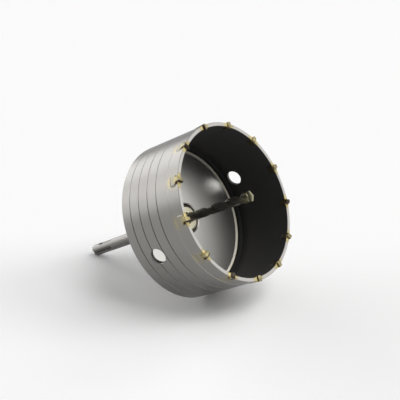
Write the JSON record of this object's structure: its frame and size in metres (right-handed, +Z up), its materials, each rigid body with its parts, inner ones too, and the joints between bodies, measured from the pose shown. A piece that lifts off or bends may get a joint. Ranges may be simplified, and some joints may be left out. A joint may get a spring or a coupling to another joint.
{
  "type": "tungsten carbide tipped masonry core cutter with hammer shank and pilot drill",
  "caption": "Short wide steel cup with grooved wall, side holes and brazed carbide teeth on its rim, on a threaded arbor with a grooved hammer shank and a spiral pilot drill in its centre.",
  "frame": {"origin": "on the floor, under the middle of the object's box, with the tool lying at rest on the back edge of its cup and the end of its shank", "axes": "+Z up; the shank points to +Y and down to the floor; the cup's mouth and the pilot drill point to -Y and rise at 28.8 degrees; +X is level, across the cup"},
  "size_m": [0.1313, 0.1864, 0.146],
  "materials": {
    "cup_steel": "satin turned and bead-blasted steel",
    "plate_steel": "satin turned steel",
    "arbor_steel": "ground steel",
    "black_screw": "black oxide steel",
    "black_drill": "black oxide steel",
    "carbide": "sintered tungsten carbide, braze-stained",
    "braze": "brass braze as it flowed"
  },
  "bodies": {
    "root": {"cup_shell": "cup_steel", "back_plate": "plate_steel", "arbor": "arbor_steel", "set_screw": "black_screw", "pilot_drill": "black_drill", "pilot_point": "carbide", "pilot_braze": "braze", "carbide_tip_01": "carbide", "carbide_tip_02": "carbide", "carbide_tip_03": "carbide", "carbide_tip_04": "carbide", "carbide_tip_05": "carbide", "carbide_tip_06": "carbide", "carbide_tip_07": "carbide", "carbide_tip_08": "carbide", "carbide_tip_09": "carbide", "carbide_tip_10": "carbide", "carbide_tip_11": "carbide", "carbide_tip_12": "carbide", "carbide_tip_13": "carbide", "braze_01": "braze", "braze_02": "braze", "braze_03": "braze", "braze_04": "braze", "braze_05": "braze", "braze_06": "braze", "braze_07": "braze", "braze_08": "braze", "braze_09": "braze", "braze_10": "braze", "braze_11": "braze", "braze_12": "braze", "braze_13": "braze"}
  },
  "joints": []
}
